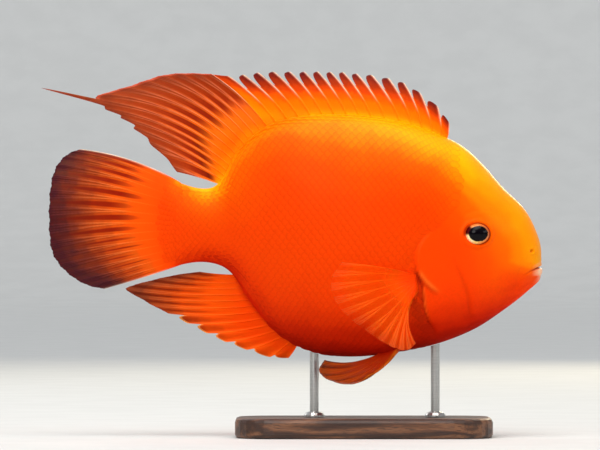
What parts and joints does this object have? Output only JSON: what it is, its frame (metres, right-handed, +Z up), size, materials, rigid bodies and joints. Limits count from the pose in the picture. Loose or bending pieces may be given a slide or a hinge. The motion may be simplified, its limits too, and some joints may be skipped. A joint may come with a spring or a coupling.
{
  "type": "blood parrot cichlid model on display stand",
  "caption": "Life-size still model of a blood parrot cichlid with spread, ray-ridged fins, held up on two short steel rods over a flat wooden base.",
  "frame": {"origin": "bottom centre of the whole model's box, on the plane of the stand's underside", "axes": "+X from the tail towards the snout, -Y the fish's right side, +Z up"},
  "size_m": [0.2034, 0.0698, 0.1481],
  "materials": {
    "scaled_skin": "smooth wet skin, orange to red",
    "fin_membrane": "satin, translucent on the animal",
    "eye": "wet gloss",
    "dark_wood": "oiled satin",
    "brushed_steel": "satin"
  },
  "bodies": {
    "root": {"head": "scaled_skin", "lower_jaw": "scaled_skin", "gill_cover_right": "scaled_skin", "gill_cover_left": "scaled_skin", "torso": "scaled_skin", "tail_stalk": "scaled_skin", "eye_right": "eye", "eye_left": "eye", "dorsal_fin_spiny": "fin_membrane", "dorsal_fin_soft": "fin_membrane", "caudal_fin": "fin_membrane", "anal_fin": "fin_membrane", "pectoral_fin_right": "fin_membrane", "pectoral_fin_left": "fin_membrane", "pelvic_fin_right": "fin_membrane", "pelvic_fin_left": "fin_membrane", "stand_base": "dark_wood", "stand_rod_front": "brushed_steel", "stand_rod_rear": "brushed_steel"}
  },
  "joints": []
}
